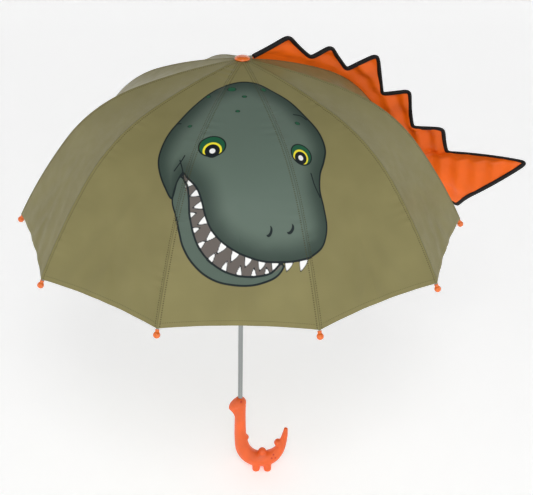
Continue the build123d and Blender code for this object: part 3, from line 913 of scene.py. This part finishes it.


# cap: a turned shape
def lathe(name, profile, material, base, sides=36):
    # a profile of (radius, height) in millimetres, turned about an upright axis that stands on base
    profile = np.asarray(profile, float) * 0.001
    axis = np.array([0.0, 0.0, 1.0])
    u = np.cross(axis, np.array([1.0, 0.0, 0.0]))
    v = np.cross(axis, u)
    turn = np.linspace(0.0, 2.0 * math.pi, sides, endpoint=False)
    ring = np.cos(turn)[None, :, None] * u + np.sin(turn)[None, :, None] * v
    points = (np.asarray(base, float) + profile[:, 1][:, None, None] * axis
              + profile[:, 0][:, None, None] * ring).reshape(-1, 3)
    faces = gridFaces(len(profile), sides, wrapCols=True).tolist()
    faces.append(list(range(sides)))
    faces.append(list(range(len(points) - sides, len(points)))[::-1])
    obj = makeMesh(name, points, faces, material)
    outwardFaces(obj)
    return obj


cap = {"radius": 11.3}


def makeCap():
    low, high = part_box("top_cap")
    base = (0.0, 0.0, low[2])
    tall = (high[2] - low[2]) * 1000.0
    t = np.linspace(0.0, 1.0, 14)
    rim = [(2.0, 0.05), (cap["radius"] - 0.8, 0.0), (cap["radius"] - 0.1, 0.5), (cap["radius"], 1.1)]
    dome = [(cap["radius"] * math.cos(a) ** 0.75 if a < math.pi / 2 - 1e-6 else 0.02, 1.1 + (tall - 1.1) * math.sin(a))
            for a in t * math.pi / 2]
    obj = lathe("peakCap", rim + dome[1:], tipMaterial, base, sides=48)
    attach(obj, "shaft")
    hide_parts("top_cap")


makeCap()


# CAD pieces that are already the right shape take their finish here
def finish(node, material):
    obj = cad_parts[node]
    obj.data.materials.clear()
    obj.data.materials.append(material)


for k in range(1, umbrella["ribs"] + 1):
    finish(f"rib_{k:02d}", ribMaterial)
    finish(f"stretcher_{k:02d}", ribMaterial)
    finish(f"tip_{k:02d}", tipMaterial)
finish("shaft_tube", chromeMaterial)
for node in ("notch_wire", "stop_pin", "runner_wire", "upper_catch", "lower_catch"):
    finish(node, wireMaterial)
for node in ("top_notch", "canopy_washer", "runner"):
    finish(node, darkMaterial)
print("finishes set")


# floor, light and camera
studio = {
    "floorZ": -0.0981,
    "floorGlow": 0.375,
    "camera": (0.0129, -1.4975, 1.1484),
    "target": (0.0398, -0.0007, 0.342),
    "lens": 73.0,
    "roll": 1.07,
    "worldLight": 0.18,
    "topSoftWatts": 19.5,
    "sideSoftWatts": 0.7,
    "lowFillWatts": 2.0,
    "aim": (0.0, 0.0, 0.4),
}


def makeStage():
    # a wide round floor whose edge curves up into a wall: a profile of (radius, height) turned about the shaft
    bend = np.linspace(0.1, math.pi / 2, 12)
    r = np.concatenate([np.linspace(0.02, 4.5, 22), 4.5 + 1.5 * np.sin(bend), np.full(6, 6.0)])
    z = np.concatenate([np.zeros(22), 1.5 - 1.5 * np.cos(bend), np.linspace(1.8, 5.0, 6)])
    turn = np.linspace(0.0, 2.0 * math.pi, 64, endpoint=False)
    grid = np.stack(np.broadcast_arrays(r[:, None] * np.cos(turn), r[:, None] * np.sin(turn),
                                        z[:, None] + studio["floorZ"]), -1)
    material, tree, shader = newMaterial("paleFloor")
    tone = noise(tree, coordinates(tree), 2.0, 2.0)
    link(tree, mixColor(tree, tone, (0.90, 0.90, 0.90), (0.92, 0.92, 0.92)), shader.inputs["Base Color"])
    shader.inputs["Roughness"].default_value = 0.95
    shader.inputs["Specular IOR Level"].default_value = 0.1
    shader.inputs["Emission Color"].default_value = (1.0, 1.0, 1.0, 1.0)
    shader.inputs["Emission Strength"].default_value = studio["floorGlow"]
    faces = gridFaces(len(r), 64, wrapCols=True).tolist() + [list(range(64))[::-1]]
    floor = makeMesh("floor", grid, faces, material)


def makeLight(name, place, aim, energy, size):
    data = bpy.data.lights.new(name, "AREA")
    data.energy = energy
    data.shape = "DISK"
    data.size = size
    obj = bpy.data.objects.new(name, data)
    bpy.context.scene.collection.objects.link(obj)
    obj.location = place
    obj.rotation_euler = (Vector(aim) - Vector(place)).to_track_quat("-Z", "Y").to_euler()


makeStage()
makeLight("topSoft", (0.1, -1.9, 2.3), studio["aim"], studio["topSoftWatts"], 1.0)
makeLight("leftSoft", (-2.2, -1.3, 1.3), studio["aim"], studio["sideSoftWatts"], 1.4)
makeLight("rightSoft", (2.3, -1.0, 1.2), studio["aim"], studio["sideSoftWatts"], 1.4)
makeLight("lowFill", (0.2, -1.8, 0.25), (0.0, 0.0, 0.2), studio["lowFillWatts"], 1.0)

world = bpy.data.worlds.new("paleRoom")
world.use_nodes = True
world.node_tree.nodes["Background"].inputs[0].default_value = (1.0, 1.0, 1.0, 1.0)
world.node_tree.nodes["Background"].inputs[1].default_value = studio["worldLight"]
bpy.context.scene.world = world
bpy.context.scene.view_settings.view_transform = "Standard"

cameraData = bpy.data.cameras.new("camera")
cameraData.lens = studio["lens"]
cameraData.sensor_width = 36.0
camera = bpy.data.objects.new("camera", cameraData)
bpy.context.scene.collection.objects.link(camera)
look = (Vector(studio["target"]) - Vector(studio["camera"])).to_track_quat("-Z", "Y").to_matrix().to_4x4()
camera.matrix_world = (Matrix.Translation(studio["camera"]) @ look
                       @ Matrix.Rotation(math.radians(studio["roll"]), 4, "Z"))
bpy.context.scene.camera = camera
print("stage, lights and camera set")
